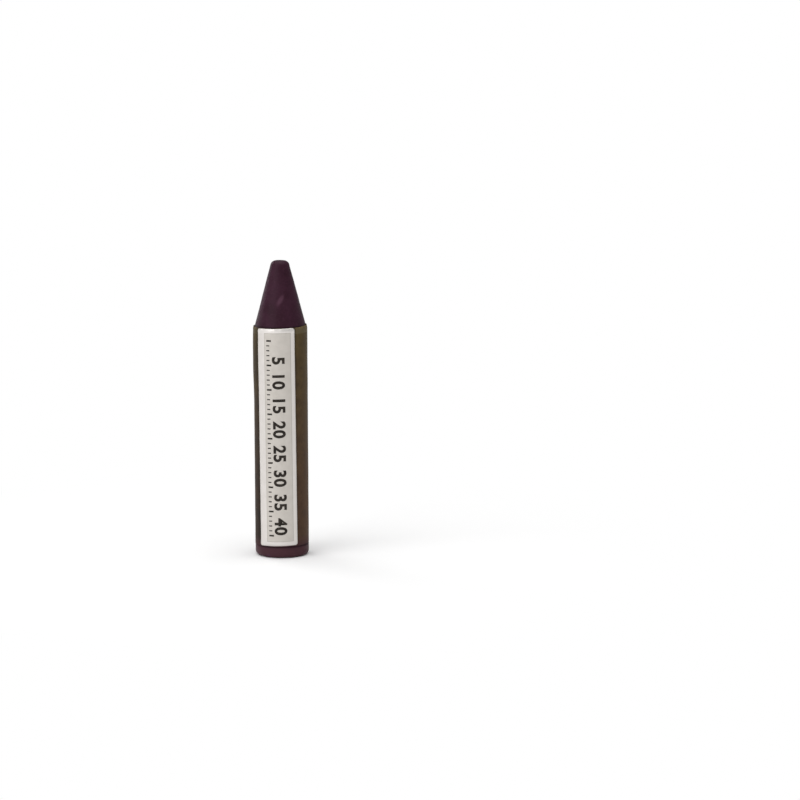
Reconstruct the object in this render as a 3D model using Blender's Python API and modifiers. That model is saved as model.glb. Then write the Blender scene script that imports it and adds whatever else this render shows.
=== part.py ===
"""Furniture wax filler stick: a cast wax crayon in a rolled paper wrap with a stuck-on label.

Metres, +Z up. The stick stands on its foot with its nose up. The origin is the centre of the
foot's flat underside, and the label faces -Y.
"""

import math

import bmesh
import bpy
from mathutils import Vector

MM = 0.001

# Cast wax stick
STICK_LENGTH = 60.0 * MM
SHANK_DIAMETER = 10.5 * MM
NOSE_LENGTH = 13.6 * MM
TIP_DIAMETER = 3.4 * MM  # where the nose's flank would meet the flat end
TIP_ROUND = 1.0 * MM
SHOULDER_ROUND = 1.5 * MM  # where the nose runs into the shank
FOOT_HEIGHT = 2.2 * MM  # bare wax, flush with the wrap above it
FOOT_ROUND = 0.9 * MM

# Paper wrap, rolled once round the shank and lapped over its own first edge
WRAP_THICKNESS = 0.11 * MM
WRAP_CLEARANCE = 0.04 * MM  # from the wax
WRAP_SEAT_GAP = 0.05 * MM  # above the foot's ledge
WRAP_TURN_IN = 0.6 * MM  # height of the margin that is rubbed down over the nose's root
WRAP_OVERLAP = 3.0 * MM
WRAP_CLIMB = 0.6 * MM  # length of paper that rises over the first edge
WRAP_EDGE_GAP = 0.1 * MM  # from the first edge to the paper that has risen over it
SEAM_BEARING = math.radians(135.0)  # middle of the lap, turned from +X towards +Y

# Glue film in the lap
GLUE_THICKNESS = 0.05 * MM
GLUE_CLEARANCE = 0.02 * MM  # from the paper on each side
GLUE_MARGIN = 0.4 * MM  # from the edges of the lap

# Label on the front of the wrap
LABEL_WIDTH = 8.0 * MM
LABEL_THICKNESS = 0.08 * MM
LABEL_CLEARANCE = 0.02 * MM  # from the paper
LABEL_MARGIN = 0.1 * MM  # paper left showing at each end
LABEL_BEARING = math.radians(-90.0)

# Facets
TURN_FACETS = 96  # round the stick
ROUND_FACETS = 8  # along a quarter of a rounded edge
CLIMB_FACETS = 4  # along the paper's rise at the seam

# Sizes that follow
shank_radius = SHANK_DIAMETER / 2
shoulder_height = STICK_LENGTH - NOSE_LENGTH
nose_slope = (shank_radius - TIP_DIAMETER / 2) / NOSE_LENGTH
wrap_inner_radius = shank_radius + WRAP_CLEARANCE
wrap_outer_radius = wrap_inner_radius + WRAP_THICKNESS
wrap_bottom = FOOT_HEIGHT + WRAP_SEAT_GAP
wrap_top = shoulder_height + WRAP_TURN_IN
glue_radius = wrap_outer_radius + GLUE_CLEARANCE
lap_radius = glue_radius + GLUE_THICKNESS + GLUE_CLEARANCE
label_radius = wrap_outer_radius + LABEL_CLEARANCE
seam_start = SEAM_BEARING - WRAP_OVERLAP / lap_radius / 2
seam_end = SEAM_BEARING + WRAP_OVERLAP / lap_radius / 2


def finish(name, color, roughness, metallic=0.0):
    """Principled material of one colour, given as linear red, green and blue."""
    material = bpy.data.materials.new(name)
    material.use_nodes = True
    shader = material.node_tree.nodes["Principled BSDF"]
    shader.inputs["Base Color"].default_value = (*color, 1.0)
    shader.inputs["Roughness"].default_value = roughness
    shader.inputs["Metallic"].default_value = metallic
    material.diffuse_color = (*color, 1.0)
    return material


def rounded_outline(corners):
    """Outline through (radius, height, rounding) corners, with an arc at each rounded one."""
    points = []
    for index, (radius, height, rounding) in enumerate(corners):
        corner = Vector((radius, height))
        if not rounding:
            points.append(corner)
            continue
        to_last = (Vector(corners[index - 1][:2]) - corner).normalized()
        to_next = (Vector(corners[index + 1][:2]) - corner).normalized()
        half_angle = to_last.angle(to_next) / 2
        centre = corner + (to_last + to_next).normalized() * rounding / math.sin(half_angle)
        first = corner + to_last * rounding / math.tan(half_angle) - centre
        last = corner + to_next * rounding / math.tan(half_angle) - centre
        count = max(2, math.ceil(first.angle(last) / (math.pi / 2) * ROUND_FACETS))
        for step in range(count + 1):
            points.append(centre + first.slerp(last, step / count).normalized() * rounding)
    return points


def bearings(start, end):
    """Bearings from start to end, no further apart than one facet of a full turn."""
    count = max(1, math.ceil((end - start) / math.tau * TURN_FACETS))
    return [start + (end - start) * step / count for step in range(count + 1)]


def new_object(name, mesh, material, parent, collection):
    part = bpy.data.objects.new(name, mesh)
    part.data.materials.append(material)
    part.parent = parent
    collection.objects.link(part)
    return part


def wax_stick(material, parent, collection):
    """Nose, shank and foot in one casting, turned about the stick's axis."""
    outline = rounded_outline([
        (0, STICK_LENGTH, 0),
        (TIP_DIAMETER / 2, STICK_LENGTH, TIP_ROUND),
        (shank_radius, shoulder_height, SHOULDER_ROUND),
        (shank_radius, FOOT_HEIGHT, 0),
        (wrap_outer_radius, FOOT_HEIGHT, 0),
        (wrap_outer_radius, 0, FOOT_ROUND),
        (0, 0, 0),
    ])
    shape = bmesh.new()
    points = [shape.verts.new((radius, 0, height)) for radius, height in outline]
    for pair in zip(points, points[1:]):
        shape.edges.new(pair)
    mesh = bpy.data.meshes.new("wax_stick")
    shape.to_mesh(mesh)
    shape.free()
    stick = new_object("wax_stick", mesh, material, parent, collection)
    turn = stick.modifiers.new("turn", "SCREW")
    turn.axis = "Z"
    turn.steps = TURN_FACETS
    turn.render_steps = TURN_FACETS
    turn.use_merge_vertices = True
    turn.merge_threshold = 0.001 * MM
    turn.use_smooth_shade = True


def rolled_sheet(name, path, bottom, top, thickness, material, parent, collection):
    """Sheet standing along a path of (bearing, inner radius), drawn in where it covers the nose."""
    shape = bmesh.new()
    points = [
        shape.verts.new((radius * math.cos(bearing), radius * math.sin(bearing), bottom))
        for bearing, radius in path
    ]
    row = [shape.edges.new(pair) for pair in zip(points, points[1:])]
    for height in [shoulder_height] * (bottom < shoulder_height < top) + [top]:
        raised = bmesh.ops.extrude_edge_only(shape, edges=row)["geom"]
        rim = {item for item in raised if isinstance(item, bmesh.types.BMVert)}
        row = [item for item in raised
               if isinstance(item, bmesh.types.BMEdge) and rim.issuperset(item.verts)]
        draw_in = max(0.0, height - shoulder_height) * nose_slope
        for point in rim:
            radius = math.hypot(point.co.x, point.co.y)
            point.co.xy *= (radius - draw_in) / radius
            point.co.z = height
    mesh = bpy.data.meshes.new(name)
    shape.to_mesh(mesh)
    shape.free()
    mesh.shade_smooth()
    sheet = new_object(name, mesh, material, parent, collection)
    # The surface faces the stick, so a full negative offset lays the thickness outside it.
    wall = sheet.modifiers.new("wall", "SOLIDIFY")
    wall.thickness = thickness
    wall.offset = -1.0
    wall.use_even_offset = True


def rolled_path():
    """The paper's inner face, from its first edge once round and over that edge to the lap's end."""
    round_end = seam_start + math.tau - WRAP_EDGE_GAP / lap_radius
    climb_start = round_end - WRAP_CLIMB / lap_radius
    path = [(bearing, wrap_inner_radius) for bearing in bearings(seam_start, climb_start)]
    for step in range(1, CLIMB_FACETS):
        share = step / CLIMB_FACETS
        rise = share * share * (3 - 2 * share)
        bearing = climb_start + (round_end - climb_start) * share
        path.append((bearing, wrap_inner_radius + (lap_radius - wrap_inner_radius) * rise))
    return path + [(bearing, lap_radius) for bearing in bearings(round_end, seam_end + math.tau)]


def level_path(radius, start, end):
    return [(bearing, radius) for bearing in bearings(start, end)]


def build():
    for leftover in list(bpy.data.objects):
        bpy.data.objects.remove(leftover)
    collection = bpy.data.collections.new("wax_filler_stick")
    bpy.context.scene.collection.children.link(collection)

    # The wrap and what is stuck to it draw off together along the stick's axis.
    stick_axis = bpy.data.objects.new("stick_axis", None)
    wrap_axis = bpy.data.objects.new("wrap_axis", None)
    wrap_axis.parent = stick_axis
    for empty in (stick_axis, wrap_axis):
        collection.objects.link(empty)

    wax_stick(finish("filler wax", (0.042, 0.019, 0.028), 0.5), stick_axis, collection)
    rolled_sheet("paper_wrap", rolled_path(), wrap_bottom, wrap_top, WRAP_THICKNESS,
                 finish("brown paper", (0.07, 0.047, 0.025), 0.6), wrap_axis, collection)
    glue_inset = GLUE_MARGIN / glue_radius
    rolled_sheet("seam_adhesive",
                 level_path(glue_radius, seam_start + glue_inset, seam_end - glue_inset),
                 wrap_bottom + GLUE_MARGIN, wrap_top - GLUE_MARGIN, GLUE_THICKNESS,
                 finish("paper glue", (0.6, 0.5, 0.32), 0.3), wrap_axis, collection)
    label_half_angle = LABEL_WIDTH / label_radius / 2
    rolled_sheet("silver_label",
                 level_path(label_radius, LABEL_BEARING - label_half_angle,
                            LABEL_BEARING + label_half_angle),
                 wrap_bottom + LABEL_MARGIN, wrap_top - LABEL_MARGIN, LABEL_THICKNESS,
                 finish("silver foil", (0.56, 0.54, 0.51), 0.35, 0.8), wrap_axis, collection)


build()
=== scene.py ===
# %% [markdown]
# # A furniture wax filler stick
# The object is a short crayon of hard, pigmented wax that is rubbed into scratches in furniture.
# The wax is cast in one piece, a sheet of brown paper is rolled round its shank, and a silver
# label is stuck on the front. The frame already holds these pieces as solids at their real size.
# This script dresses them: it makes finer meshes in the same places and gives them finishes.

# %% Load the frame
import math

import bmesh
import bpy
from mathutils import Matrix, Vector, noise


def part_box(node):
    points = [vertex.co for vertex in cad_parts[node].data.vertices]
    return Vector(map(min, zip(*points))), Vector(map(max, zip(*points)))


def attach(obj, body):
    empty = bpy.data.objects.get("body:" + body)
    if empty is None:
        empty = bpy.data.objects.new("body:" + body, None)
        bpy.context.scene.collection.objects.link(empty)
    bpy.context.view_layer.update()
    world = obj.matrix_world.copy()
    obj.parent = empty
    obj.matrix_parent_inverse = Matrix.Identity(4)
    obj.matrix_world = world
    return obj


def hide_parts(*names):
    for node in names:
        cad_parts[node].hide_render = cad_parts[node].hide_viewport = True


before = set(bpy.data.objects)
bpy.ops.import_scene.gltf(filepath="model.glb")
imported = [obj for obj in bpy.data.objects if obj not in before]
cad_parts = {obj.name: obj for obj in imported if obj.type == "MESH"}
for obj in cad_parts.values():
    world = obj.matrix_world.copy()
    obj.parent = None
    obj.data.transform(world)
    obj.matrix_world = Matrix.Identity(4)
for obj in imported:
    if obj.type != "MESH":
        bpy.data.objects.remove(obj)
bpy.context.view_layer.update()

MM = 0.001

# %% [markdown]
# ## Sizes
# A piece that replaces a solid has to lie where the solid lies, so its sizes are read from the
# frame: heights from the boxes, and radii from the points near a sheet's lower edge. Only what a
# box or a radius can't tell is written out, such as the nose's length and the roundings of the wax.

# %% Read the sizes from the frame
NOSE_LENGTH = 13.6 * MM
TIP_RADIUS = 1.7 * MM  # where the nose's flank would meet the flat end
EDGE_BAND = 0.01 * MM  # points this near a sheet's lower edge count as lying on it


def radii(node, low, high):
    """Distances from the stick's axis of a node's points between two heights."""
    points = (vertex.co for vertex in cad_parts[node].data.vertices)
    return [math.hypot(point.x, point.y) for point in points if low <= point.z <= high]


def sheet_radii(node):
    """Inner and outer radius of a rolled sheet, at its lower edge."""
    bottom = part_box(node)[0].z
    found = radii(node, bottom - EDGE_BAND, bottom + EDGE_BAND)
    return min(found), max(found)


stick_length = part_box("wax_stick")[1].z
foot_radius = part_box("wax_stick")[1].x
wrap_bottom, wrap_top = (corner.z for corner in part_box("paper_wrap"))
shank_radius = max(radii("wax_stick", wrap_bottom, stick_length))
wrap_inner = sheet_radii("paper_wrap")[0]
wrap_outer = foot_radius  # the foot is cast flush with the wrap
shoulder = stick_length - NOSE_LENGTH
nose_slope = (shank_radius - TIP_RADIUS) / NOSE_LENGTH
print(f"stick {stick_length / MM:.2f} mm long, shank {2 * shank_radius / MM:.2f} mm across, "
      f"wrap from {wrap_bottom / MM:.2f} to {wrap_top / MM:.2f} mm")

# %% [markdown]
# ## From a bmesh to a piece
# Every piece goes the same way: a bmesh becomes an object at the origin, takes its finish, rides
# on a body of the frame and, unless it is only print, hides the solid that it stands in for. One
# helper does that. A second one gives soft transitions, which nearly every hand-made shape needs.

# %% Helpers for shapes and pieces


def make_piece(name, shape, materials, body, node=None):
    """Object from a bmesh, smooth-shaded, that rides on a body and may hide the node it stands in for.
    """
    mesh = bpy.data.meshes.new(name)
    shape.to_mesh(mesh)
    shape.free()
    mesh.shade_smooth()
    piece = bpy.data.objects.new(name, mesh)
    bpy.context.scene.collection.objects.link(piece)
    for material in materials:
        mesh.materials.append(material)
    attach(piece, body)
    if node:
        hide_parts(node)
    print(name, "has", len(mesh.polygons), "faces and rides on", body)
    return piece


def ease(value, start, end):
    """Share that runs from 0 at start to 1 at end, with a soft start and stop."""
    share = min(max((value - start) / (end - start), 0.0), 1.0)
    return share * share * (3 - 2 * share)


print("ease in four steps:", [round(ease(step, 0, 4), 2) for step in range(5)])

# %% [markdown]
# ## From a colour to a finish
# A finish is a tree of shader nodes. Colours are written as sRGB hex values, as a paint program
# shows them, but shaders reckon in linear light, so one function converts them. Another adds a
# node with its settings and links. A third turns a real size into a texture scale: the textures
# here read metres, so a pattern of 3 mm repeats about 333 times in one unit.

# %% Helpers for finishes


def linear(hex_color):
    """Linear red, green, blue and alpha of an sRGB colour such as #3a2530."""
    channels = [int(hex_color[start:start + 2], 16) / 255 for start in (1, 3, 5)]
    return [*((c / 12.92 if c <= 0.04045 else ((c + 0.055) / 1.055) ** 2.4) for c in channels), 1.0]


def new_finish(name):
    """Material with a Principled shader, its node tree and that shader."""
    material = bpy.data.materials.new(name)
    material.use_nodes = True
    return material, material.node_tree, material.node_tree.nodes["Principled BSDF"]


def add(tree, kind, inputs=None, **settings):
    """Add a node. An input given as a socket is linked, and any other is set as a value."""
    made = tree.nodes.new(kind)
    for name, value in settings.items():
        setattr(made, name, value)
    for name, value in (inputs or {}).items():
        if isinstance(value, bpy.types.NodeSocket):
            tree.links.new(value, made.inputs[name])
        else:
            made.inputs[name].default_value = value
    return made


def per_metre(size):
    """Texture scale at which a pattern's features measure about that size."""
    return 1 / size


print("a middle grey is", round(linear("#808080")[0], 3), "in linear light")
print("a pattern of 3 mm has a scale of", round(per_metre(3 * MM)))

# %% [markdown]
# ## Cast pigmented wax
# Filler wax is a hard paraffin and carnauba blend, loaded with earth pigment and poured into a
# mould. The eye sees a dark plum brown, hardly translucent, with a low, soft sheen. The melt cools
# unevenly, which leaves faint clouds. The foot is a lighter, redder tone, which fades out above it.
# Where the skin was scraped it is paler and duller. Along the paper's edges the wax is painted dark,
# as painted shade where it meets the paper. Scraped places and the painted shade are stored on the
# mesh as attributes when it is made, and read here.

# %% Wax finish
WAX_CLOUD = 3.0 * MM
PIGMENT_GRAIN = 0.4 * MM  # real pigment is finer; this is as coarse as it needs to be to show
FOOT_TONE_FROM = 2.0 * MM  # the redder tone fades out between these heights
FOOT_TONE_TO = 3.0 * MM
CLOUD_RANGE = {"From Min": 0.35, "From Max": 0.65}  # where most of the noise lies


def cast_wax():
    material, tree, shader = new_finish("cast_pigmented_wax")
    place = add(tree, "ShaderNodeTexCoord").outputs["Object"]
    height = add(tree, "ShaderNodeSeparateXYZ", {"Vector": place}).outputs["Z"]
    worn = add(tree, "ShaderNodeAttribute", attribute_name="worn").outputs["Fac"]
    # Painted shade along the paper's edges, read from the mesh.
    wear_and_edge_shade = add(tree, "ShaderNodeAttribute", attribute_name="wear_and_edge_shade").outputs["Fac"]
    cloud = add(tree, "ShaderNodeTexNoise",
                {"Vector": place, "Scale": per_metre(WAX_CLOUD), "Detail": 4.0}).outputs["Fac"]
    grain = add(tree, "ShaderNodeTexNoise",
                {"Vector": place, "Scale": per_metre(PIGMENT_GRAIN), "Detail": 3.0}).outputs["Fac"]
    clouded = add(tree, "ShaderNodeMapRange", {"Value": cloud, **CLOUD_RANGE}).outputs["Result"]
    flecked = add(tree, "ShaderNodeMapRange",
                  {"Value": grain, "From Min": 0.52, "From Max": 0.75, "To Max": 0.5}).outputs["Result"]
    # The foot is a lighter, redder tone, fading out above it.
    at_foot = add(tree, "ShaderNodeMapRange",
                  {"Value": height, "From Min": FOOT_TONE_FROM, "From Max": FOOT_TONE_TO,
                   "To Min": 1.0, "To Max": 0.0}).outputs["Result"]
    tone = add(tree, "ShaderNodeMix",
               {"Factor": clouded, "A": linear("#301723"), "B": linear("#3a1e2d")},
               data_type="RGBA").outputs["Result"]
    # The darkest layer is painted shade along the paper's edges.
    layers = [(at_foot, "#482c32"), (flecked, "#432735"), (worn, "#4d303f"), (wear_and_edge_shade, "#1c0b14")]
    for share, color in layers:
        tone = add(tree, "ShaderNodeMix", {"Factor": share, "A": tone, "B": linear(color)},
                   data_type="RGBA").outputs["Result"]
    tree.links.new(tone, shader.inputs["Base Color"])

    sheen = add(tree, "ShaderNodeMapRange",
                {"Value": cloud, **CLOUD_RANGE, "To Min": 0.42, "To Max": 0.55}).outputs["Result"]
    dulled = add(tree, "ShaderNodeMath", {0: worn, 1: 0.2, 2: sheen}, operation="MULTIPLY_ADD")
    tree.links.new(dulled.outputs["Value"], shader.inputs["Roughness"])
    skin = add(tree, "ShaderNodeBump", {"Height": grain, "Strength": 0.35, "Distance": 0.02 * MM})
    tree.links.new(skin.outputs["Normal"], shader.inputs["Normal"])
    shader.inputs["IOR"].default_value = 1.44
    shader.inputs["Specular IOR Level"].default_value = 0.12
    return material


wax_finish = cast_wax()
print("made", wax_finish.name)

# %% [markdown]
# ## The wax stick
# A casting from a turned mould is a turned shape, so its profile is drawn as a few corner points
# and spun. A profile could also be drawn point by point, but corners that are bevelled stay easy
# to change: a bevel on a corner starts where the rounding leaves the edge, and that distance
# follows from the rounding's radius and the corner's angle. Long edges are cut into rows before
# the spin, so that there are points to dent afterwards.

# %% Spin the wax stick
TIP_ROUND = 1.0 * MM
SHOULDER_ROUND = 1.5 * MM
FOOT_HEIGHT = 2.2 * MM
FOOT_ROUND = 0.9 * MM
ROUND_SEGMENTS = 8
ROW_HEIGHT = 0.25 * MM
TURN_STEPS = 224
SAME_POINT = 0.001 * MM  # points closer than this are merged
nose_lean = math.atan(nose_slope)


def setback(rounding, corner_angle):
    """Distance from a corner to where a rounding of that radius leaves its edges."""
    return rounding / math.tan(corner_angle / 2)


def spin_stick():
    shape = bmesh.new()
    profile = {
        "tip": (0, stick_length),
        "tip edge": (TIP_RADIUS, stick_length),
        "shoulder": (shank_radius, shoulder),
        "ledge": (shank_radius, FOOT_HEIGHT),
        "foot rim": (foot_radius, FOOT_HEIGHT),
        "foot edge": (foot_radius, 0),
        "foot": (0, 0),
    }
    corners = {name: shape.verts.new((x, 0, z)) for name, (x, z) in profile.items()}
    chain = list(corners.values())
    for pair in zip(chain, chain[1:]):
        shape.edges.new(pair)
    roundings = {
        "tip edge": setback(TIP_ROUND, math.pi / 2 + nose_lean),
        "shoulder": setback(SHOULDER_ROUND, math.pi - nose_lean),
        "foot edge": setback(FOOT_ROUND, math.pi / 2),
    }
    for name, offset in roundings.items():
        bmesh.ops.bevel(shape, geom=[corners[name]], offset=offset, segments=ROUND_SEGMENTS,
                        profile=0.5, affect="VERTICES", material=-1)
    for edge in list(shape.edges):
        cuts = int(edge.calc_length() / ROW_HEIGHT)
        if cuts:
            bmesh.ops.subdivide_edges(shape, edges=[edge], cuts=cuts)
    bmesh.ops.spin(shape, geom=shape.verts[:] + shape.edges[:], cent=(0, 0, 0), axis=(0, 0, 1),
                   angle=math.tau, steps=TURN_STEPS, use_merge=True)
    bmesh.ops.remove_doubles(shape, verts=shape.verts, dist=SAME_POINT)
    bmesh.ops.recalc_face_normals(shape, faces=shape.faces)
    shape.normal_update()
    return shape


stick_shape = spin_stick()
print("spun a stick of", len(stick_shape.faces), "faces")

# %% [markdown]
# ## Handling marks
# A spun shape looks like machined plastic. Two things turn it into cast wax that has lain in a
# drawer: a slow unevenness all over, from the noise that Blender's own textures use, and a few
# scrapes. Each scrape is an ellipse laid on the surface, which pushes points in along their
# normals and writes how worn they are to the attribute that the finish reads. The first one is
# the scrape that shows on the front of the nose.

# %% Uneven skin and scrapes
UNEVEN_SIZE = 2.2 * MM
UNEVEN_DEPTH = 0.03 * MM
COVERED_DEPTH = 0.01 * MM  # under the wrap, where the wax has little room
# Painted shade: the wax is darkened along the paper's upper and lower edges.
EDGE_SHADE_REACH = 0.35 * MM
SHADED_EDGES = [(wrap_top, 0.8), (FOOT_HEIGHT, 0.4)]  # height and strength
SCRAPE_FLOOR = 0.3  # share of a scrape's half width that lies at its full depth
SCRAPES = [  # bearing in degrees, then height, length and width in mm, tilt in degrees, depth in mm
    (-80, 52.5, 3.4, 1.3, 57, 0.05),
    (-172, 50.4, 1.5, 0.5, -25, 0.03),
    (15, 51.6, 2.4, 0.6, 30, 0.04),
    (78, 54.6, 1.3, 0.7, 70, 0.05),
    (150, 50.9, 2.0, 0.5, 10, 0.04),
    (215, 56.2, 1.1, 0.6, -40, 0.05),
    (28, 58.9, 1.6, 0.8, 5, 0.09),
    (110, 59.0, 1.4, 0.7, 0, 0.08),
    (-112, 0.5, 1.6, 0.7, 0, 0.07),
    (-20, 1.3, 1.2, 0.4, 35, 0.04),
    (60, 0.4, 1.9, 0.8, 0, 0.09),
    (170, 0.7, 1.2, 0.7, 20, 0.06),
]


def scraped(point, bearing, height, length, width, tilt):
    """How deep inside a scrape a point lies, from 0 at its rim to 1 in its middle."""
    around = math.atan2(point.y, point.x) - math.radians(bearing)
    across = math.remainder(around, math.tau) * math.hypot(point.x, point.y)
    offset = Vector((across, point.z - height * MM))
    offset.rotate(Matrix.Rotation(-math.radians(tilt), 2))
    from_middle = math.hypot(offset.x / length, offset.y / width) * 2 / MM
    return 1 - ease(from_middle, SCRAPE_FLOOR, 1.0)


def weather_stick(shape):
    worn = shape.verts.layers.float.new("worn")
    wear_and_edge_shade = shape.verts.layers.float.new("wear_and_edge_shade")
    for vertex in shape.verts:
        # Painted shade along the paper's edges, written as an attribute.
        for edge, strength in SHADED_EDGES:
            near = 1 - ease(abs(vertex.co.z - edge), 0, EDGE_SHADE_REACH)
            vertex[wear_and_edge_shade] = max(vertex[wear_and_edge_shade], strength * near)
        if wrap_bottom < vertex.co.z < shoulder:
            vertex.co += vertex.normal * COVERED_DEPTH * noise.noise(vertex.co / UNEVEN_SIZE)
            continue
        push = UNEVEN_DEPTH * noise.noise(vertex.co / UNEVEN_SIZE)
        for *where, depth in SCRAPES:
            share = scraped(vertex.co, *where)
            push -= depth * MM * share
            vertex[worn] = max(vertex[worn], share)
        # The foot's flat underside stays flat, and nothing goes below it.
        if vertex.co.z > 0:
            vertex.co += vertex.normal * push
            vertex.co.z = max(vertex.co.z, 0.0)


weather_stick(stick_shape)
make_piece("wax_casting", stick_shape, [wax_finish], "stick", "wax_stick")

# %% [markdown]
# ## Brown paper
# The wrap is thin paper, printed brown on its outer side. Its fibres lie mostly along the stick,
# so the finish stretches a noise that way. It does not read the object's coordinates: a sheet is
# flat when it is made, so its pattern lies in the sheet and bends with it. The wrap and the label
# keep their flat place as a UV map, in metres. The brown is not one brown: towards the nose the ink
# has faded to olive, and lower down it is redder. The border between the two is as uneven as the
# clouds in the sheet.

# %% Fibres and browns of the paper
FIBRE_WIDTH = 0.12 * MM  # real fibres are finer; these are as coarse as they need to be to show
FIBRE_LENGTH = 0.8 * MM
PAPER_CLOUD = 2.5 * MM
MIXED_RANGE = {"From Min": 0.75, "From Max": 1.25}  # where most of the sum of two noises lies
FADE_FROM = 16 * MM  # the redder brown turns to olive between these heights
FADE_TO = 54 * MM
FADE_UNEVEN = 15 * MM  # what a full cloud adds to the height before it is compared


def paper_patterns(tree, flat):
    """Fibres along the stick, clouds, and the sum of the two."""
    stretch = (per_metre(FIBRE_WIDTH), per_metre(FIBRE_LENGTH), 1)
    along = add(tree, "ShaderNodeMapping", {"Vector": flat, "Scale": stretch}).outputs["Vector"]
    fibre = add(tree, "ShaderNodeTexNoise",
                {"Vector": along, "Scale": 1.0, "Detail": 4.0}).outputs["Fac"]
    cloud = add(tree, "ShaderNodeTexNoise",
                {"Vector": flat, "Scale": per_metre(PAPER_CLOUD), "Detail": 3.0}).outputs["Fac"]
    mixed = add(tree, "ShaderNodeMath", {0: fibre, 1: cloud}, operation="ADD").outputs["Value"]
    return fibre, cloud, mixed


def two_browns(tree, height, cloud, mixed):
    """Redder brown below and olive brown above, each as patchy as the paper."""
    patchy = add(tree, "ShaderNodeMapRange", {"Value": mixed, **MIXED_RANGE}).outputs["Result"]
    browns = {}
    for name, dark, light in [("red", "#463326", "#574132"), ("olive", "#463a23", "#57492d")]:
        browns[name] = add(tree, "ShaderNodeMix",
                           {"Factor": patchy, "A": linear(dark), "B": linear(light)},
                           data_type="RGBA").outputs["Result"]
    uneven = add(tree, "ShaderNodeMath", {0: cloud, 1: FADE_UNEVEN, 2: height},
                 operation="MULTIPLY_ADD").outputs["Value"]
    upper = add(tree, "ShaderNodeMapRange",
                {"Value": uneven, "From Min": FADE_FROM, "From Max": FADE_TO}).outputs["Result"]
    return add(tree, "ShaderNodeMix", {"Factor": upper, "A": browns["red"], "B": browns["olive"]},
               data_type="RGBA").outputs["Result"]


print(f"fibres of {FIBRE_WIDTH / MM} by {FIBRE_LENGTH / MM} mm, clouds of {PAPER_CLOUD / MM} mm")

# %% [markdown]
# ## Wear, painted highlight and painted shade on the paper
# The upper margin, rubbed down over the root of the nose, is painted paler: a painted highlight
# where it tilts up towards the light. Along its edge and along the lap the ink has rubbed off in
# flecks, where the fibres stand proud. Beside the label the sheet is painted darker as painted
# shade, most where the fibres lie low, and the lower edge has drawn up wax from the foot. Each of
# these is a colour that is laid over the brown by a share, so a loop mixes them in. The bare paper
# of the rim and of the inner side is paler and quite dull.

# %% Paper finishes
# Painted highlight on the paper's upper margin: its width and its soft border.
TOP_HIGHLIGHT_MARGIN = 1.2 * MM
TOP_HIGHLIGHT_BORDER = 0.2 * MM
DRAWN_FROM = 0.3 * MM  # the drawn-up wax fades out between these heights
DRAWN_TO = 2.0 * MM
BARE_FIBRE = 0.3 * MM  # coarser than real fibres, so that it shows on the rim
margin_start = wrap_top - wrap_bottom - TOP_HIGHLIGHT_MARGIN  # up from the sheet's lower edge


def printed_paper():
    material, tree, shader = new_finish("printed_brown_paper")
    flat = add(tree, "ShaderNodeUVMap", uv_map="flat").outputs["UV"]
    height = add(tree, "ShaderNodeSeparateXYZ", {"Vector": flat}).outputs["Y"]
    worn = add(tree, "ShaderNodeAttribute", attribute_name="worn").outputs["Fac"]
    # Painted shade beside the label, read from the wrap.
    side_shade = add(tree, "ShaderNodeAttribute", attribute_name="side_shade").outputs["Fac"]
    fibre, cloud, mixed = paper_patterns(tree, flat)
    # Painted highlight: the upper margin is painted paler.
    painted_top_highlight = add(tree, "ShaderNodeMapRange",
                    {"Value": height, "From Min": margin_start - TOP_HIGHLIGHT_BORDER,
                     "From Max": margin_start, "To Max": 0.5}).outputs["Result"]
    proud = add(tree, "ShaderNodeMapRange",
                {"Value": fibre, "From Min": 0.45, "From Max": 0.6}).outputs["Result"]
    # On the paper this is only ink worn off in flecks, where the fibres stand proud.
    wear_and_edge_shade = add(tree, "ShaderNodeMath", {0: worn, 1: proud}, operation="MULTIPLY").outputs["Value"]
    hollow = add(tree, "ShaderNodeMapRange",
                 {"Value": mixed, **MIXED_RANGE, "To Min": 1.15, "To Max": 0.75}).outputs["Result"]
    # Painted shade beside the label, darker where the fibres lie low.
    shade_beside_label = add(tree, "ShaderNodeMath", {0: side_shade, 1: hollow}, operation="MULTIPLY",
               use_clamp=True).outputs["Value"]
    drawn = add(tree, "ShaderNodeMapRange",
                {"Value": height, "From Min": DRAWN_FROM, "From Max": DRAWN_TO,
                 "To Min": 0.8, "To Max": 0.0}).outputs["Result"]
    tone = two_browns(tree, height, cloud, mixed)
    # Layers: painted highlight on the upper margin, worn ink, painted shade beside the label, drawn-up
    # wax.
    layers = [(painted_top_highlight, "#6a6048"), (wear_and_edge_shade, "#75603f"), (shade_beside_label, "#211d1a"), (drawn, "#472d31")]
    for share, color in layers:
        tone = add(tree, "ShaderNodeMix", {"Factor": share, "A": tone, "B": linear(color)},
                   data_type="RGBA").outputs["Result"]
    tree.links.new(tone, shader.inputs["Base Color"])

    gloss = add(tree, "ShaderNodeMapRange",
                {"Value": mixed, **MIXED_RANGE, "To Min": 0.5, "To Max": 0.65}).outputs["Result"]
    tree.links.new(gloss, shader.inputs["Roughness"])
    felt = add(tree, "ShaderNodeBump", {"Height": fibre, "Strength": 0.4, "Distance": 0.01 * MM})
    tree.links.new(felt.outputs["Normal"], shader.inputs["Normal"])
    shader.inputs["IOR"].default_value = 1.5
    shader.inputs["Specular IOR Level"].default_value = 0.08
    return material


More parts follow.
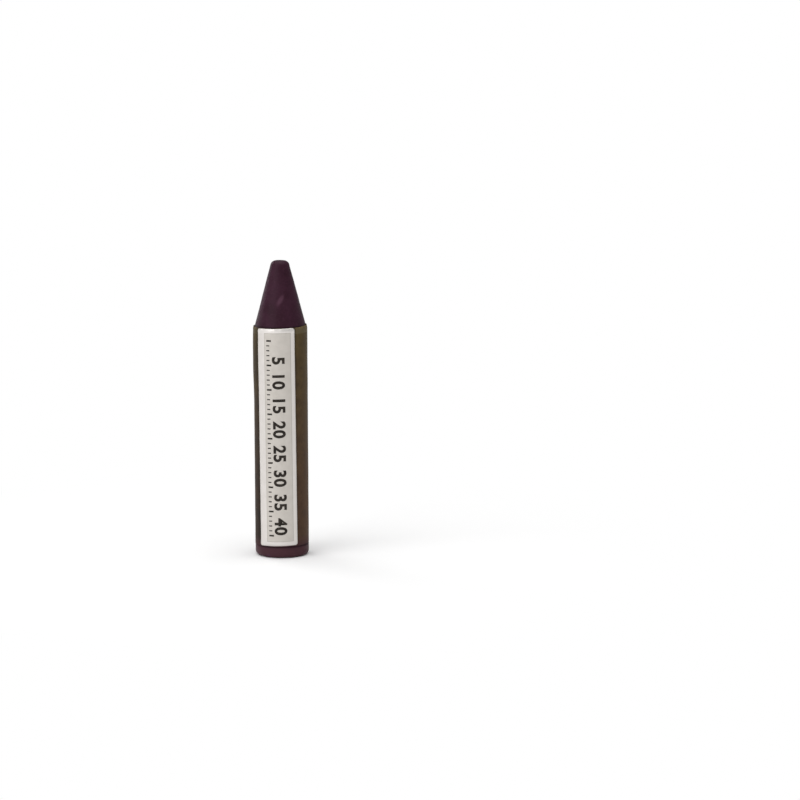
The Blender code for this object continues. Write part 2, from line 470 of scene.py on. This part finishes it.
def bare_paper():
    material, tree, shader = new_finish("bare_uncoated_paper")
    place = add(tree, "ShaderNodeTexCoord").outputs["Object"]
    fibre = add(tree, "ShaderNodeTexNoise",
                {"Vector": place, "Scale": per_metre(BARE_FIBRE), "Detail": 4.0}).outputs["Fac"]
    tone = add(tree, "ShaderNodeMix",
               {"Factor": fibre, "A": linear("#4f402c"), "B": linear("#766347")},
               data_type="RGBA").outputs["Result"]
    tree.links.new(tone, shader.inputs["Base Color"])
    shader.inputs["Roughness"].default_value = 0.85
    shader.inputs["Specular IOR Level"].default_value = 0.2
    return material


paper_finishes = [printed_paper(), bare_paper()]
print("made", [finish.name for finish in paper_finishes])

# %% [markdown]
# ## How rolled paper lies
# At the top the sheet is rubbed down over the root of the nose. Its girth shrinks there, so it
# gathers in small pleats. Elsewhere it stands off the wax a little, unevenly, and most of all at the
# upper left. The roll was begun askew, so both its edges lie lower on the left than on the right.
# These rules are functions of the bearing round the stick and the height, because the paste, the
# label and its print lie on the paper and have to follow them.

# %% Rules for the rolled sheets
ASKEW = 0.25 * MM  # from an edge's lowest place to its highest
HIGH_BEARING = math.radians(-10.0)
SLACK = 0.04 * MM
SLACK_SIZE = 4.0 * MM
BULGE = 0.15 * MM
BULGE_BEARING = math.radians(190.0)
BULGE_HEIGHT = 41.0 * MM
BULGE_REACH = 10.0 * MM  # up and down from its middle
BULGE_SPREAD = math.radians(60.0)  # round the stick from its middle
BULGE_CROWN = 0.2  # share of its reach over which it stands at its full height
PLEATS = 22
PLEAT_DEPTH = 0.07 * MM
PLEAT_START = 0.3 * MM  # below the shoulder
PLEAT_STRAY = 2.0  # how far the pleats stray from even steps, in radians of their wave
STRAY_SIZE = 2.0 * MM


def standoff(bearing, height):
    """How far a sheet stands off the wax: slack, bulge and pleats, less the nose's taper."""
    spot = Vector((math.cos(bearing), math.sin(bearing), height / shank_radius)) * shank_radius
    slack = SLACK * (0.5 + 0.5 * noise.noise(spot / SLACK_SIZE))
    aside = math.remainder(bearing - BULGE_BEARING, math.tau) / BULGE_SPREAD
    above = (height - BULGE_HEIGHT) / BULGE_REACH
    bulge = BULGE * (1 - ease(math.hypot(aside, above), BULGE_CROWN, 1.0))
    stray = PLEAT_STRAY * noise.noise(spot / STRAY_SIZE)
    pleat = PLEAT_DEPTH * max(0.0, math.sin(PLEATS * bearing + stray))
    gathered = pleat * ease(height, shoulder - PLEAT_START, wrap_top)
    return slack + bulge + gathered - max(0.0, height - shoulder) * nose_slope


def on_stick(bearing, reach, height):
    """Point on a sheet whose inner face would lie at that reach if it were smooth."""
    share = (height - wrap_bottom) / (wrap_top - wrap_bottom)
    height += ASKEW * ((1 + math.cos(bearing - HIGH_BEARING)) / 2 - share)
    reach += standoff(bearing, height)
    return Vector((reach * math.cos(bearing), reach * math.sin(bearing), height))


print(f"the paper bulges by {standoff(BULGE_BEARING, BULGE_HEIGHT) / MM:.2f} mm at the upper left")

# %% [markdown]
# ## The seam
# The sheet goes once round the wax, then climbs over its own first edge and lies on it for a few
# millimetres, where it is glued. The radii of its two layers follow from the wrap's solid and from
# that of the glue between them. The lap's free edge lifts, more in some places than in others.

# %% Rule for the lap
SEAM_BEARING = math.radians(135.0)
WRAP_OVERLAP = 3.0 * MM
WRAP_CLIMB = 0.6 * MM  # length of paper that rises over the first edge
WRAP_EDGE_GAP = 0.1 * MM  # from the first edge to the paper that has risen over it
FLAP_LIFT = 0.1 * MM
FLAP_LENGTH = 1.0 * MM
FLAP_OPEN = 0.6  # share of the lift at an average place
FLAP_VARIES = 0.8  # how far that share strays from place to place
FLAP_SIZE = 6.0 * MM
glue_inner, glue_outer = sheet_radii("seam_adhesive")
lap_inner = glue_outer + (glue_inner - wrap_outer)
seam_start = SEAM_BEARING - WRAP_OVERLAP / lap_inner / 2
seam_end = SEAM_BEARING + WRAP_OVERLAP / lap_inner / 2
full_turn = math.tau + seam_end - seam_start


def roll_reach(turn, height):
    """Reach of the paper's inner face after a length of turn, in radians from its first edge."""
    climbed = math.tau - WRAP_EDGE_GAP / lap_inner
    rise = ease(turn, climbed - WRAP_CLIMB / lap_inner, climbed)
    lift = ease(turn, full_turn - FLAP_LENGTH / lap_inner, full_turn)
    opened = FLAP_OPEN + FLAP_VARIES * noise.noise(Vector((0, 0, height / FLAP_SIZE)))
    return wrap_inner + (lap_inner - wrap_inner) * rise + FLAP_LIFT * lift * max(0.0, opened)


print(f"the paper climbs from {wrap_inner / MM:.2f} to {lap_inner / MM:.2f} mm at the seam")

# %% [markdown]
# ## Flat sheets
# The wrap, the paste, the label and its print all start flat and are bent afterwards. What they
# share is written once: a flat grid, cuts right across a shape, rows of fine cuts for a sharp bend,
# the flat place kept as a UV map, and a thickness. Solidify gives the thickness, and not an
# extrusion, because it follows the bent surface and stays easy to change.

# %% Helpers for flat sheets
CUT_TOLERANCE = 0.0001 * MM  # points this near a cut count as lying on it
FINE_ROW = 0.12 * MM
ROWS_MORE = 3  # fine rows past the bend


def flat_sheet(length, height, columns, rows):
    """Flat grid from the origin, with its length along X."""
    shape = bmesh.new()
    place = Matrix.Translation((length / 2, height / 2, 0)) @ Matrix.Diagonal((length, height, 1, 1))
    bmesh.ops.create_grid(shape, x_segments=columns, y_segments=rows, size=0.5, matrix=place)
    return shape


def cut_across(shape, axis, places):
    """Cut a flat shape right across at some places along an axis."""
    normal = Vector((0, 0, 0))
    normal[axis] = 1
    for place in places:
        bmesh.ops.bisect_plane(shape, geom=shape.verts[:] + shape.edges[:] + shape.faces[:],
                               dist=CUT_TOLERANCE, plane_co=normal * place, plane_no=normal)


def fine_rows(reach, first=0.5):
    """Distances of fine rows from an edge, over a reach. The first is a share of a row away."""
    return [FINE_ROW * (row + first) for row in range(int(reach / FINE_ROW) + ROWS_MORE)]


def keep_flat_place(shape):
    """Keep each point's flat place, in metres, as a UV map."""
    layer = shape.loops.layers.uv.new("flat")
    for face in shape.faces:
        for loop in face.loops:
            loop[layer].uv = loop.vert.co.xy


def thicken(piece, name, thickness, **settings):
    """Give a sheet its thickness, on its outer side."""
    wall = piece.modifiers.new(name, "SOLIDIFY")
    wall.thickness = thickness
    wall.offset = 1.0
    for setting, value in settings.items():
        setattr(wall, setting, value)


print(len(fine_rows(wrap_top - shoulder)), "fine rows at the wrap's upper edge")

# %% [markdown]
# ## The wrap
# A real wrap starts as a flat strip, so this one does too: a grid as long as one turn and the lap.
# Its cut edges wander a little, its flat place is kept as a map, and then every point is rolled
# up. Solidify gives the paper its thickness outwards. Its outer face keeps the first finish, the
# printed one, and the face that Solidify adds inside and the rim take the next one, bare paper.

# %% Roll the wrap
SHEET_COLUMNS = 260
SHEET_ROWS = 120
CUT_WANDER = 0.05 * MM
WANDER_SIZE = 1.5 * MM
WORN_MARGIN = 0.5 * MM


def roll_wrap():
    length = full_turn * wrap_inner
    height = wrap_top - wrap_bottom
    shape = flat_sheet(length, height, SHEET_COLUMNS, SHEET_ROWS)
    cut_across(shape, 1, [height - row for row in fine_rows(wrap_top - shoulder)])
    cut_across(shape, 1, fine_rows(0))
    keep_flat_place(shape)
    worn = shape.verts.layers.float.new("worn")
    for vertex in shape.verts:
        x, y, _ = vertex.co
        vertex[worn] = 1 - ease(min(height - y, length - x), 0, WORN_MARGIN)
        at_edge = max(vertex[worn], 1 - ease(y, 0, WORN_MARGIN))
        wander = noise.noise(Vector((x, y, 0)) / WANDER_SIZE) * CUT_WANDER * at_edge
        bearing = seam_start + x / wrap_inner
        # The lower edge only wanders up, because it stands on the foot's ledge.
        level = wrap_bottom + y + (abs(wander) if y < height / 2 else wander)
        vertex.co = on_stick(bearing, roll_reach(x / wrap_inner, level), level)
    return shape


wrap = make_piece("rolled_wrap", roll_wrap(), paper_finishes, "wrap", "paper_wrap")
thicken(wrap, "paper", wrap_outer - wrap_inner, use_even_offset=True,
        material_offset=1, material_offset_rim=1)

# %% [markdown]
# ## Glue in the lap
# The roll is held by a film of paste between its two layers, which dries to a brittle amber skin.
# It hardly shows, except in the lap's open ends, but it is a piece of its own in the frame, so it
# gets its own sheet. Paste is brushed on by hand, so the film's outline wanders.

# %% Paste film
GLUE_MARGIN = 0.4 * MM
GLUE_WANDER = 0.2 * MM
GLUE_WANDER_SIZE = 1.2 * MM
PASTE_COLUMNS = 20
PASTE_ROWS = 160
PASTE_STREAK = 0.8 * MM


def dried_paste():
    material, tree, shader = new_finish("dried_dextrin_paste")
    place = add(tree, "ShaderNodeTexCoord").outputs["Object"]
    streak = add(tree, "ShaderNodeTexNoise",
                 {"Vector": place, "Scale": per_metre(PASTE_STREAK), "Detail": 3.0}).outputs["Fac"]
    tone = add(tree, "ShaderNodeMix",
               {"Factor": streak, "A": linear("#a98a55"), "B": linear("#d6bd8c")},
               data_type="RGBA").outputs["Result"]
    tree.links.new(tone, shader.inputs["Base Color"])
    gloss = add(tree, "ShaderNodeMapRange", {"Value": streak, "To Min": 0.2, "To Max": 0.4})
    tree.links.new(gloss.outputs["Result"], shader.inputs["Roughness"])
    return material


def brush_paste():
    length = WRAP_OVERLAP - 2 * GLUE_MARGIN
    height = wrap_top - wrap_bottom - 2 * GLUE_MARGIN
    shape = flat_sheet(length, height, PASTE_COLUMNS, PASTE_ROWS)
    for vertex in shape.verts:
        x, y, _ = vertex.co
        wander = noise.noise(Vector((x, y, 0)) / GLUE_WANDER_SIZE) * GLUE_WANDER
        bearing = seam_start + (GLUE_MARGIN + x + wander * (2 * x / length - 1)) / glue_inner
        vertex.co = on_stick(bearing, glue_inner, wrap_bottom + GLUE_MARGIN + y)
    return shape


paste = make_piece("paste_film", brush_paste(), [dried_paste()], "wrap", "seam_adhesive")
thicken(paste, "film", glue_outer - glue_inner, use_even_offset=True)

# %% [markdown]
# ## The printed panel
# A panel is printed on the label inside a margin of bare silver, which is wider on the left because
# the sheet was out of register. How far a place lies inside the panel's edge can be reckoned from
# the label's flat map by a few vector steps, and that depth is all that the panel and the fine line
# round it need.

# %% Lay out the label
LEFT_MARGIN = 1.7 * MM
OTHER_MARGIN = 0.9 * MM
label_inner, label_outer = sheet_radii("silver_label")
label_bottom, label_top = (corner.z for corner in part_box("silver_label"))
label_width = 2 * label_inner * math.asin(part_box("silver_label")[1].x / label_outer)
label_height = label_top - label_bottom
panel_shift = (LEFT_MARGIN - OTHER_MARGIN) / 2
panel_half_width = (label_width - LEFT_MARGIN - OTHER_MARGIN) / 2
panel_half_height = label_height / 2 - OTHER_MARGIN


def depth_in_panel(tree, flat):
    """How far a place lies inside the panel's edge. In the margin it is below 0."""
    shifted = add(tree, "ShaderNodeVectorMath", {0: flat, 1: (panel_shift, 0, 0)},
                  operation="SUBTRACT").outputs["Vector"]
    away = add(tree, "ShaderNodeVectorMath", {0: shifted}, operation="ABSOLUTE").outputs["Vector"]
    inside = add(tree, "ShaderNodeVectorMath", {0: (panel_half_width, panel_half_height, 0), 1: away},
                 operation="SUBTRACT").outputs["Vector"]
    sides = add(tree, "ShaderNodeSeparateXYZ", {"Vector": inside}).outputs
    return add(tree, "ShaderNodeMath", {0: sides["X"], 1: sides["Y"]},
               operation="MINIMUM").outputs["Value"]


print(f"label {label_width / MM:.2f} by {label_height / MM:.2f} mm")

# %% [markdown]
# ## Silver label paper
# The label is metallised paper: a breath of aluminium on paper under a matt varnish. It is silver
# rather than mirror-like, because the paper's fibres break up the reflection and the varnish clouds
# it, so the shader is only half metallic, and fairly rough. The panel is a thin grey ink, which
# covers some of the metal. At the top the silver is painted lighter, a painted highlight, as the
# paper's upper margin is.

# %% Label finish
BORDER_LINE = 0.1 * MM
SILVER_CLOUD = 1.6 * MM
SILVER_GRAIN = 0.35 * MM  # the real felt is finer; this is as coarse as it needs to be to show


def silver_paper():
    material, tree, shader = new_finish("metallised_matt_paper")
    flat = add(tree, "ShaderNodeUVMap", uv_map="flat").outputs["UV"]
    up = add(tree, "ShaderNodeSeparateXYZ", {"Vector": flat}).outputs["Y"]
    depth = depth_in_panel(tree, flat)
    panel = add(tree, "ShaderNodeMath", {0: depth, 1: 0.0}, operation="GREATER_THAN").outputs["Value"]
    line = add(tree, "ShaderNodeMath", {0: depth, 1: 0.0, 2: BORDER_LINE / 2},
               operation="COMPARE").outputs["Value"]
    # Painted highlight: the margin above the panel is painted lighter.
    painted_top_highlight = add(tree, "ShaderNodeMapRange",
                    {"Value": up, "From Min": panel_half_height - BORDER_LINE,
                     "From Max": panel_half_height, "To Max": 0.2}).outputs["Result"]
    cloud = add(tree, "ShaderNodeTexNoise",
                {"Vector": flat, "Scale": per_metre(SILVER_CLOUD), "Detail": 4.0}).outputs["Fac"]
    grain = add(tree, "ShaderNodeTexNoise",
                {"Vector": flat, "Scale": per_metre(SILVER_GRAIN), "Detail": 2.0}).outputs["Fac"]
    tones = {}
    for name, dark, light in [("silver", "#d5cfca", "#e8e3df"), ("grey", "#beb8b0", "#d6d0c9")]:
        tones[name] = add(tree, "ShaderNodeMix",
                          {"Factor": cloud, "A": linear(dark), "B": linear(light)},
                          data_type="RGBA").outputs["Result"]
    tone = tones["silver"]
    layers = [(painted_top_highlight, linear("#fbf8f5")), (panel, tones["grey"]), (line, linear("#b3ada5"))]
    for share, cover in layers:
        tone = add(tree, "ShaderNodeMix", {"Factor": share, "A": tone, "B": cover},
                   data_type="RGBA").outputs["Result"]
    tree.links.new(tone, shader.inputs["Base Color"])

    gloss = add(tree, "ShaderNodeMapRange",
                {"Value": cloud, "From Min": 0.3, "From Max": 0.7, "To Min": 0.38, "To Max": 0.5})
    tree.links.new(gloss.outputs["Result"], shader.inputs["Roughness"])
    felt = add(tree, "ShaderNodeBump", {"Height": grain, "Strength": 0.3, "Distance": 0.015 * MM})
    tree.links.new(felt.outputs["Normal"], shader.inputs["Normal"])
    metal = add(tree, "ShaderNodeMapRange", {"Value": panel, "To Min": 0.5, "To Max": 0.35})
    tree.links.new(metal.outputs["Result"], shader.inputs["Metallic"])
    return material


label_finish = silver_paper()
print("made", label_finish.name)

# %% [markdown]
# ## The label
# A label is punched from a flat sheet with its corners rounded, so it starts as one face whose
# corners are bevelled. Cuts across it both ways let it bend. It was stuck on by hand and sits a
# little askew, and its corners have begun to lift.

# %% Cut and stick the label
LABEL_CORNER = 0.45 * MM
CORNER_SEGMENTS = 6
LABEL_COLUMN = 0.2 * MM
LABEL_ROW = 0.4 * MM
LABEL_SKEW = math.radians(0.45)
LABEL_RISE = 0.08 * MM  # towards the paper's upper edge
CORNER_LIFT = 0.05 * MM
CORNER_REACH = 1.6 * MM
FRONT = math.radians(-90.0)  # the bearing that the label faces
label_middle = (label_bottom + label_top) / 2


def even_cuts(length, spacing):
    """Places that divide a length about the origin into even steps of no more than the spacing."""
    count = math.ceil(length / spacing)
    return [length * (step / count - 0.5) for step in range(1, count)]


def stick_on_front(shape, reach):
    """Bend a flat shape, X across and Y up from the label's middle, round the front of the wrap."""
    skew = Matrix.Rotation(LABEL_SKEW, 3, "Z")
    bmesh.ops.rotate(shape, verts=shape.verts, cent=(0, 0, 0), matrix=skew)
    for vertex in shape.verts:
        across, up, lift = vertex.co
        height = label_middle + LABEL_RISE + up
        vertex.co = on_stick(across / label_inner + FRONT, reach + lift, height)


def cut_label():
    shape = bmesh.new()
    size = Matrix.Diagonal((label_width, label_height, 1, 1))
    bmesh.ops.create_grid(shape, x_segments=1, y_segments=1, size=0.5, matrix=size)
    bmesh.ops.bevel(shape, geom=shape.verts[:], offset=LABEL_CORNER, segments=CORNER_SEGMENTS,
                    profile=0.5, affect="VERTICES", material=-1)
    cut_across(shape, 0, even_cuts(label_width, LABEL_COLUMN))
    cut_across(shape, 1, even_cuts(label_height, LABEL_ROW))
    bend_rows = fine_rows(label_top - shoulder, first=0.7)
    cut_across(shape, 1, [label_height / 2 - row for row in bend_rows])
    keep_flat_place(shape)
    for vertex in shape.verts:
        corner = Vector((label_width / 2 - abs(vertex.co.x), label_height / 2 - abs(vertex.co.y)))
        vertex.co.z = CORNER_LIFT * (1 - ease(corner.length, 0, CORNER_REACH))
    stick_on_front(shape, label_inner)
    return shape


label = make_piece("silver_panel", cut_label(), [label_finish], "wrap", "silver_label")
thicken(label, "sheet", label_outer - label_inner, use_even_offset=True)

# %% [markdown]
# ## Painted shade beside the label
# The wrap is painted darker beside the label's sides, as painted shade: a narrow line on the right,
# and on the left a wide band that widens towards the foot. It could be modelled as a film, but it is
# only a stain: the wrap's finish mixes in a dirty brown by an attribute, which is painted here
# because only now is the label's place known. The wrap's finish mixes in a dark brown by an
# attribute, which is painted here because only now is the label's place known. A noise stretches and
# shrinks the distance from the label, which makes the shade's border ragged.

# %% Paint shade on the wrap beside the label
# Painted shade: its reach from the label and its strength, at the top and at the bottom.
SHADE_AT_TOP = {"left": (3.6 * MM, 0.6), "right": (0.8 * MM, 0.6)}  # reach and strength
SHADE_AT_BOTTOM = {"left": (8.0 * MM, 0.95), "right": (0.8 * MM, 0.2)}
SHADE_PATCH = 2.5 * MM
SHADE_RAGGED = 0.5  # how far the distance is stretched or shrunk, as a share of it


def stain_wrap():
    side_shade = wrap.data.attributes.new("side_shade", "FLOAT", "POINT")
    for vertex, darkening in zip(wrap.data.vertices, side_shade.data):
        bearing = math.atan2(vertex.co.y, vertex.co.x) - FRONT
        spot = Vector((bearing * label_inner, vertex.co.z - label_middle))
        spot.rotate(Matrix.Rotation(-LABEL_SKEW, 2))
        beside = abs(abs(spot.x) - label_width / 2)
        side = "left" if spot.x < 0 else "right"
        at_top, at_bottom = Vector(SHADE_AT_TOP[side]), Vector(SHADE_AT_BOTTOM[side])
        reach, strength = at_bottom.lerp(at_top, spot.y / label_height + 0.5)
        ragged = 1 + SHADE_RAGGED * noise.noise(vertex.co / SHADE_PATCH)
        darkening.value = strength * (1 - ease(beside * ragged, 0, reach))
    return sum(darkening.value > 0 for darkening in side_shade.data)


print("painted shade on", stain_wrap(), "points of the wrap")

# %% [markdown]
# ## The printed scale
# The print down the label's middle is a plain scale in millimetres, so that the user sees how much
# of the stick is left. It reads downwards, with the tops of the digits to the right. The digits
# come from Blender's built-in font and are made a mesh at once, because the ink has to bend with
# the label. The ticks are small faces in the same mesh, and cuts across all of it let it bend.

# %% Set the scale
SCALE_LENGTH = 40
NUMBER_STEP = 5
SCALE_START = 2.4 * MM  # from the label's top edge
TICK_FOOT = -1.85 * MM  # from the label's middle
TICK_LENGTHS = {1: 0.65 * MM, NUMBER_STEP: 1.0 * MM}
TICK_WIDTHS = {1: 0.22 * MM, NUMBER_STEP: 0.34 * MM}
DIGIT_FOOT = -0.55 * MM
DIGIT_HEIGHT = 2.4 * MM
DIGIT_GAP = 0.1 * MM  # from a number's end to its tick
DIGIT_WEIGHT = 0.035  # added round each stroke, as a share of the font's size
DIGIT_SPACING = 1.1  # 1 is the font's own
PRINT_WIDTH = 4.0 * MM  # a little more than ticks and digits take up across the label


def add_number(shape, number, along):
    """Add a number that ends that far down the label."""
    text = bpy.data.curves.new("number", "FONT")
    text.body = str(number)
    text.align_x = "RIGHT"
    text.offset = DIGIT_WEIGHT
    text.space_character = DIGIT_SPACING
    carrier = bpy.data.objects.new("number", text)
    mesh = bpy.data.meshes.new_from_object(carrier)
    bpy.data.objects.remove(carrier)
    bpy.data.curves.remove(text)
    tall = max(vertex.co.y for vertex in mesh.vertices)
    place = Matrix.Translation((DIGIT_FOOT, label_height / 2 - along, 0))
    turn = Matrix.Rotation(-math.pi / 2, 4, "Z")
    mesh.transform(place @ turn @ Matrix.Scale(DIGIT_HEIGHT / tall, 4))
    shape.from_mesh(mesh)
    bpy.data.meshes.remove(mesh)


def set_scale():
    shape = bmesh.new()
    for mark in range(SCALE_LENGTH + 1):
        along = SCALE_START + mark * MM
        kind = NUMBER_STEP if mark % NUMBER_STEP == 0 else 1
        length = TICK_LENGTHS[kind]
        place = Matrix.Translation((TICK_FOOT + length / 2, label_height / 2 - along, 0))
        size = Matrix.Diagonal((length, TICK_WIDTHS[kind], 1, 1))
        bmesh.ops.create_grid(shape, x_segments=1, y_segments=1, size=0.5, matrix=place @ size)
        if mark and kind == NUMBER_STEP:
            add_number(shape, mark, along - DIGIT_GAP)
    bmesh.ops.remove_doubles(shape, verts=shape.verts, dist=SAME_POINT)
    cut_across(shape, 0, even_cuts(PRINT_WIDTH, LABEL_COLUMN))
    return shape


scale_shape = set_scale()
print("set a scale of", len(scale_shape.faces), "flat faces")

# %% [markdown]
# ## Printing ink
# The scale is printed in a nearly black offset ink. It lies so thinly on the varnish that it turns
# brownish and duller in patches. Real ink is a hundredth of a millimetre thick at most. The mesh
# here is about that, a hair off the label, so that the two surfaces don't flicker.

# %% Print the scale
INK_THICKNESS = 0.012 * MM
INK_GAP = 0.003 * MM
INK_PATCH = 0.5 * MM


def printing_ink():
    material, tree, shader = new_finish("offset_printing_ink")
    place = add(tree, "ShaderNodeTexCoord").outputs["Object"]
    thin = add(tree, "ShaderNodeTexNoise",
               {"Vector": place, "Scale": per_metre(INK_PATCH), "Detail": 3.0}).outputs["Fac"]
    patchy = add(tree, "ShaderNodeMapRange",
                 {"Value": thin, "From Min": 0.4, "From Max": 0.7}).outputs["Result"]
    tone = add(tree, "ShaderNodeMix",
               {"Factor": patchy, "A": linear("#1d1915"), "B": linear("#3a332b")},
               data_type="RGBA").outputs["Result"]
    tree.links.new(tone, shader.inputs["Base Color"])
    gloss = add(tree, "ShaderNodeMapRange", {"Value": thin, "To Min": 0.35, "To Max": 0.6})
    tree.links.new(gloss.outputs["Result"], shader.inputs["Roughness"])
    shader.inputs["Specular IOR Level"].default_value = 0.2
    return material


stick_on_front(scale_shape, label_outer + INK_GAP)
scale = make_piece("printed_scale", scale_shape, [printing_ink()], "wrap")
thicken(scale, "ink", INK_THICKNESS)

# %% [markdown]
# ## Floor
# The stick stands on a plain white table. Seen by the camera, by mirrors or through glass, the table
# fades to pure white away from the object. Near the object it is an ordinary pale surface, so the
# stick's soft shadow stays on it.

# %% White table
FLOOR_REACH = 40.0
SHADOW_REACH = 15 * MM
WHITE_REACH = 90 * MM


def white_table():
    material, tree, shader = new_finish("matt_white_table")
    place = add(tree, "ShaderNodeTexCoord").outputs["Object"]
    away = add(tree, "ShaderNodeVectorMath", {0: place}, operation="LENGTH").outputs["Value"]
    far = add(tree, "ShaderNodeMapRange",
              {"Value": away, "From Min": SHADOW_REACH, "From Max": WHITE_REACH},
              interpolation_type="SMOOTHSTEP").outputs["Result"]
    ray = add(tree, "ShaderNodeLightPath").outputs
    seen = ray["Is Camera Ray"]
    for kind in ("Is Glossy Ray", "Is Transmission Ray"):
        seen = add(tree, "ShaderNodeMath", {0: seen, 1: ray[kind]},
                   operation="MAXIMUM").outputs["Value"]
    share = add(tree, "ShaderNodeMath", {0: seen, 1: far}, operation="MULTIPLY").outputs["Value"]
    white = add(tree, "ShaderNodeEmission", {"Strength": 1.0}).outputs["Emission"]
    blend = add(tree, "ShaderNodeMixShader", {0: share, 1: shader.outputs["BSDF"], 2: white})
    tree.links.new(blend.outputs["Shader"], tree.nodes["Material Output"].inputs["Surface"])
    shader.inputs["Base Color"].default_value = linear("#f8f8f8")
    shader.inputs["Roughness"].default_value = 0.9
    shader.inputs["Specular IOR Level"].default_value = 0.0
    return material


floor_shape = bmesh.new()
bmesh.ops.create_grid(floor_shape, x_segments=1, y_segments=1, size=FLOOR_REACH)
floor_mesh = bpy.data.meshes.new("white_table")
floor_shape.to_mesh(floor_mesh)
floor_shape.free()
floor_mesh.materials.append(white_table())
floor = bpy.data.objects.new("white_table", floor_mesh)
bpy.context.scene.collection.objects.link(floor)
print("the table reaches", FLOOR_REACH, "m each way")

# %% [markdown]
# ## Light
# The light is that of a small product table: a dim room, a wide softbox overhead, a soft key light
# from the front left and a small one from behind on the left, which draws a sheen on that edge. A
# lamp's level is the brightness of its face, where 1 is that of white paper in full light. Together
# they light the front about fully, so a colour there renders about as it is written.

# %% Lamps and world
ROOM_LEVEL = 0.35
stick_middle = Vector((0, 0, stick_length / 2))


def towards(azimuth, elevation):
    """Direction from the stick, in degrees. Azimuth 0 is the front, and 90 the right."""
    turn, rise = math.radians(azimuth), math.radians(elevation)
    return Vector((math.sin(turn) * math.cos(rise), -math.cos(turn) * math.cos(rise), math.sin(rise)))


def softbox(name, azimuth, elevation, distance, size, level):
    """Square area lamp aimed at the stick's middle."""
    lamp = bpy.data.lights.new(name, "AREA")
    lamp.shape = "SQUARE"
    lamp.size = size
    lamp.energy = level * math.pi * size ** 2
    box = bpy.data.objects.new(name, lamp)
    back = towards(azimuth, elevation)
    box.location = stick_middle + back * distance
    box.rotation_euler = back.to_track_quat("Z", "Y").to_euler()
    box.visible_camera = False
    bpy.context.scene.collection.objects.link(box)


softbox("overhead", azimuth=0, elevation=88, distance=0.8, size=0.9, level=2.0)
softbox("key", azimuth=-38, elevation=28, distance=0.6, size=0.5, level=1.8)
softbox("rim", azimuth=-130, elevation=20, distance=0.5, size=0.25, level=2.5)

world = bpy.data.worlds.new("dim_room")
bpy.context.scene.world = world
world.use_nodes = True
room = world.node_tree.nodes["Background"]
room.inputs["Color"].default_value = linear("#ffffff")
room.inputs["Strength"].default_value = ROOM_LEVEL
print("lamps:", [lamp.name for lamp in bpy.data.lights])

# %% [markdown]
# ## Camera
# The photograph was taken from a little above with a long lens, from slightly right of the label's
# middle. A long lens hardly narrows the far end of a thing, which keeps the stick's sides parallel.
# The camera's distance follows from the lens and from how many pixels a millimetre takes.

# %% Camera
LENS = 200.0
FRAME_PIXELS = 800
PIXELS_PER_MM = 4.95
AZIMUTH = 10.0
ELEVATION = 10.0
ROLL = math.radians(-0.22)
FRAME_OFFSET = Vector((24.04, 1.35)) * MM  # from the stick's middle to the frame's, right and up

camera_data = bpy.data.cameras.new("camera")
camera_data.lens = LENS
camera = bpy.data.objects.new("camera", camera_data)
bpy.context.scene.collection.objects.link(camera)
bpy.context.scene.camera = camera

back = towards(AZIMUTH, ELEVATION)
right = towards(AZIMUTH + 90, 0)
up = back.cross(right)
distance = FRAME_PIXELS / PIXELS_PER_MM * MM * LENS / camera_data.sensor_width
camera.location = stick_middle + back * distance
aim = stick_middle + right * FRAME_OFFSET.x + up * FRAME_OFFSET.y
camera.rotation_euler = (camera.location - aim).to_track_quat("Z", "Y").to_euler()
camera.rotation_euler.rotate_axis("Z", ROLL)
bpy.context.scene.view_settings.view_transform = "Standard"
print(f"camera {distance:.3f} m from the stick")
